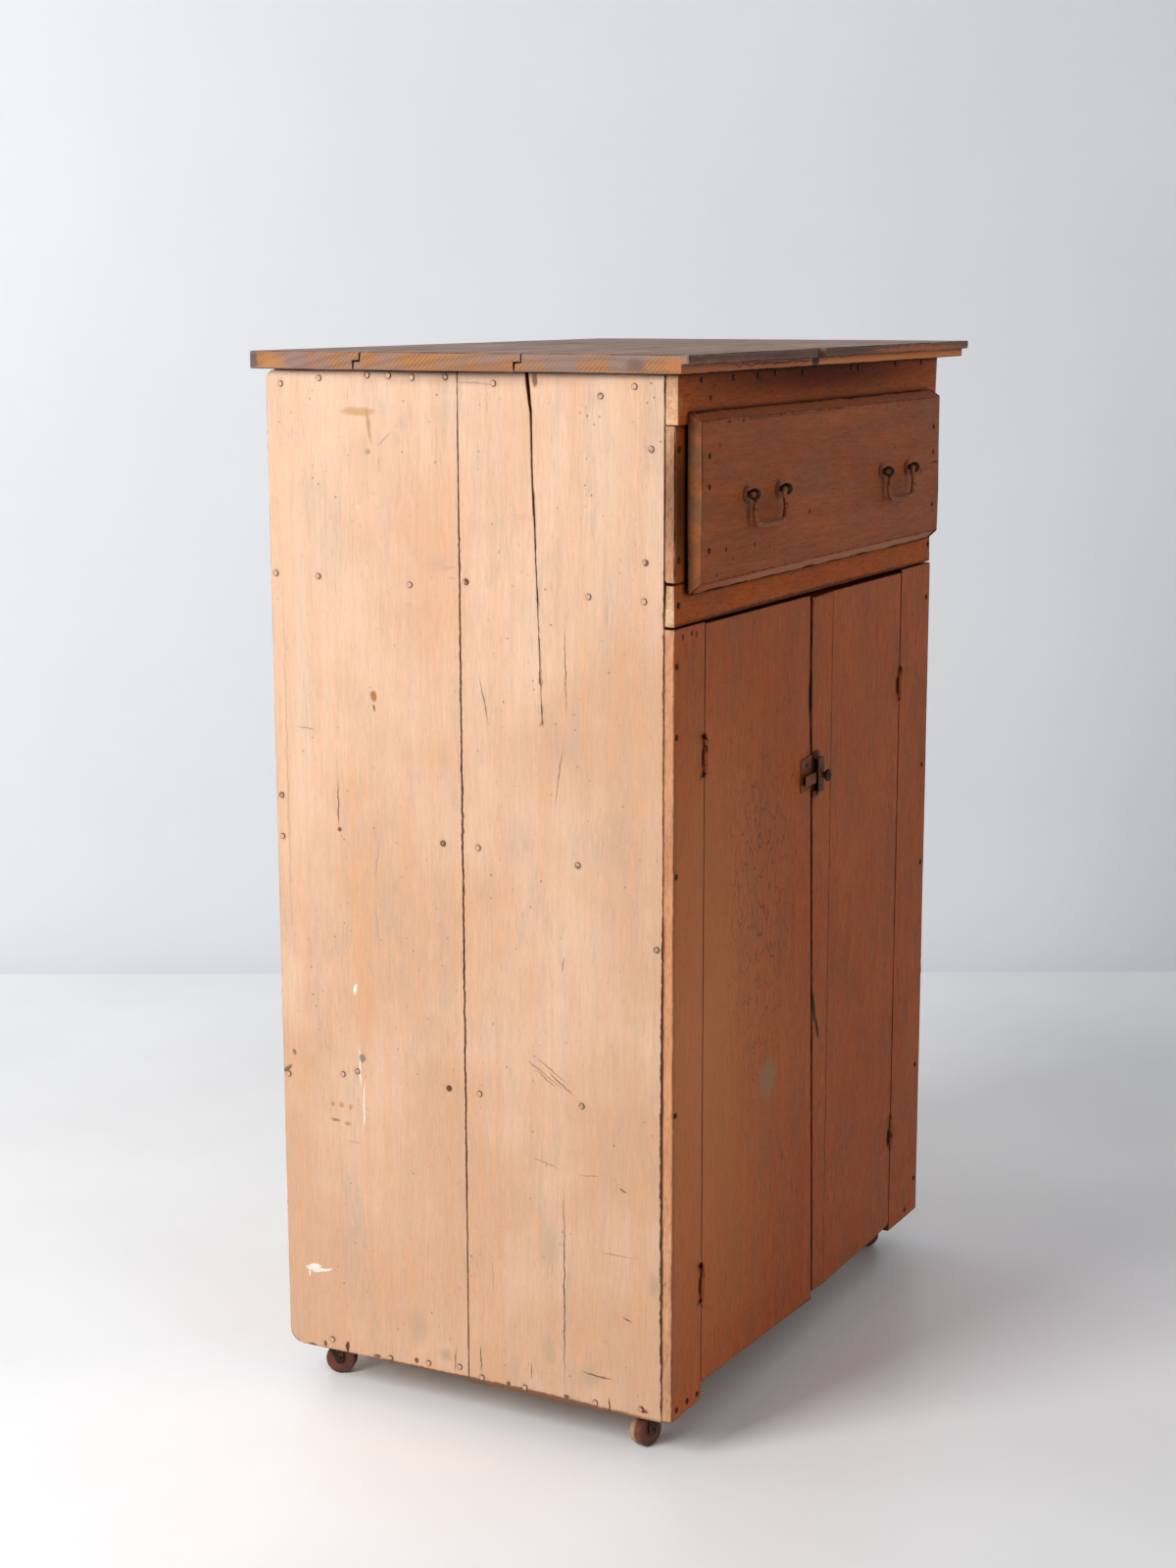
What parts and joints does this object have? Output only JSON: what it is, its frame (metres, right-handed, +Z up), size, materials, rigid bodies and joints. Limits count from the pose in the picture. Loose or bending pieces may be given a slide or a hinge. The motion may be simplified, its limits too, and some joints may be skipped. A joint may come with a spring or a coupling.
{
  "type": "cupboard",
  "caption": "Tall painted plank cupboard on casters, with a drawer with wire pulls over a pair of latched doors and an overhanging plank top.",
  "frame": {"origin": "centre of the bounding box, on the floor under the casters", "axes": "+Z up, front towards -Y, +X to the right seen from the front"},
  "size_m": [0.908, 0.5922, 1.291],
  "materials": {
    "painted_side_boards": "old oil paint, satin",
    "painted_front_boards": "old oil paint, satin",
    "stained_top_boards": "dark stain, worn",
    "bare_boards": "bare, aged",
    "painted_hinge_iron": "painted over, worn",
    "rusty_iron": "rusty, worn bright on edges",
    "old_iron": "dark, dull",
    "caster_wheel_wood": "dark, worn"
  },
  "bodies": {
    "carcass": {"left_side_front_board": "painted_side_boards", "left_side_rear_board": "painted_side_boards", "right_side_front_board": "painted_side_boards", "right_side_rear_board": "painted_side_boards", "back_board_1": "bare_boards", "back_board_2": "bare_boards", "back_board_3": "bare_boards", "back_board_4": "bare_boards", "bottom_front_board": "bare_boards", "bottom_rear_board": "bare_boards", "top_front_board": "stained_top_boards", "top_middle_board": "stained_top_boards", "top_rear_board": "stained_top_boards", "top_rail": "painted_front_boards", "drawer_rail": "painted_front_boards", "left_upper_stile": "painted_front_boards", "right_upper_stile": "painted_front_boards", "left_lower_stile": "painted_front_boards", "right_lower_stile": "painted_front_boards", "upper_shelf": "bare_boards", "lower_shelf": "bare_boards", "shelf_cleats": "bare_boards", "top_cleats": "bare_boards", "drawer_runners": "bare_boards", "hinge_frame_leaves": "painted_hinge_iron", "hinge_pins": "painted_hinge_iron", "side_nails": "old_iron", "frame_nails": "old_iron", "caster_plates": "old_iron", "caster_king_pins": "old_iron", "caster_screws": "old_iron"},
    "drawer": {"drawer_front": "painted_front_boards", "drawer_left_side": "bare_boards", "drawer_right_side": "bare_boards", "drawer_back": "bare_boards", "drawer_bottom": "bare_boards", "drawer_nails": "old_iron", "pull_posts": "rusty_iron"},
    "left_pull": {"left_pull_bail": "rusty_iron"},
    "right_pull": {"right_pull_bail": "rusty_iron"},
    "left_door": {"left_door_board": "painted_front_boards", "left_door_battens": "bare_boards", "left_door_hinge_leaves": "painted_hinge_iron", "latch_keeper": "rusty_iron", "keeper_screw": "rusty_iron"},
    "right_door": {"right_door_wide_board": "painted_front_boards", "right_door_narrow_board": "painted_front_boards", "right_door_battens": "bare_boards", "right_door_hinge_leaves": "painted_hinge_iron", "latch_case": "rusty_iron", "latch_screws": "rusty_iron"},
    "latch": {"latch_knob": "rusty_iron"},
    "fork_front_left": {"caster_fork_front_left": "old_iron"},
    "wheel_front_left": {"caster_wheel_front_left": "caster_wheel_wood"},
    "fork_front_right": {"caster_fork_front_right": "old_iron"},
    "wheel_front_right": {"caster_wheel_front_right": "caster_wheel_wood"},
    "fork_rear_left": {"caster_fork_rear_left": "old_iron"},
    "wheel_rear_left": {"caster_wheel_rear_left": "caster_wheel_wood"},
    "fork_rear_right": {"caster_fork_rear_right": "old_iron"},
    "wheel_rear_right": {"caster_wheel_rear_right": "caster_wheel_wood"}
  },
  "joints": [
    {"name": "drawer_slide", "type": "slide", "parent": "carcass", "child": "drawer", "axis": [0, -1, 0], "range_m": [0, 0.36]},
    {"name": "left_pull_swing", "type": "hinge", "parent": "drawer", "child": "left_pull", "pos_m": [-0.254, -0.29015, 1.131], "axis": [-1, 0, 0], "range_deg": [-10, 160]},
    {"name": "right_pull_swing", "type": "hinge", "parent": "drawer", "child": "right_pull", "pos_m": [0.172, -0.29015, 1.131], "axis": [-1, 0, 0], "range_deg": [-10, 160]},
    {"name": "left_door_hinge", "type": "hinge", "parent": "carcass", "child": "left_door", "pos_m": [-0.36275, -0.25885, 0.5165], "axis": [0, 0, -1], "range_deg": [0, 170]},
    {"name": "right_door_hinge", "type": "hinge", "parent": "carcass", "child": "right_door", "pos_m": [0.26375, -0.25885, 0.5165], "axis": [0, 0, 1], "range_deg": [0, 170]},
    {"name": "latch_turn", "type": "hinge", "parent": "right_door", "child": "latch", "pos_m": [-0.031, -0.26685, 0.759], "axis": [0, -1, 0], "range_deg": [0, 90]},
    {"name": "caster_swivel_front_left", "type": "hinge", "parent": "carcass", "child": "fork_front_left", "pos_m": [-0.399, -0.21085, 0.045], "axis": [0, 0, 1], "continuous": true},
    {"name": "caster_roll_front_left", "type": "hinge", "parent": "fork_front_left", "child": "wheel_front_left", "pos_m": [-0.41041, -0.20714, 0.019], "axis": [-0.309, -0.9511, 0], "continuous": true},
    {"name": "caster_swivel_front_right", "type": "hinge", "parent": "carcass", "child": "fork_front_right", "pos_m": [0.329, -0.21085, 0.045], "axis": [0, 0, 1], "continuous": true},
    {"name": "caster_roll_front_right", "type": "hinge", "parent": "fork_front_right", "child": "wheel_front_right", "pos_m": [0.32412, -0.19989, 0.019], "axis": [-0.9135, -0.4067, 0], "continuous": true},
    {"name": "caster_swivel_rear_left", "type": "hinge", "parent": "carcass", "child": "fork_rear_left", "pos_m": [-0.399, 0.24515, 0.045], "axis": [0, 0, 1], "continuous": true},
    {"name": "caster_roll_rear_left", "type": "hinge", "parent": "fork_rear_left", "child": "wheel_rear_left", "pos_m": [-0.39529, 0.23374, 0.019], "axis": [0.9511, 0.309, 0], "continuous": true},
    {"name": "caster_swivel_rear_right", "type": "hinge", "parent": "carcass", "child": "fork_rear_right", "pos_m": [0.329, 0.24515, 0.045], "axis": [0, 0, 1], "continuous": true},
    {"name": "caster_roll_rear_right", "type": "hinge", "parent": "fork_rear_right", "child": "wheel_rear_right", "pos_m": [0.33819, 0.25286, 0.019], "axis": [-0.6428, 0.766, 0], "continuous": true}
  ]
}
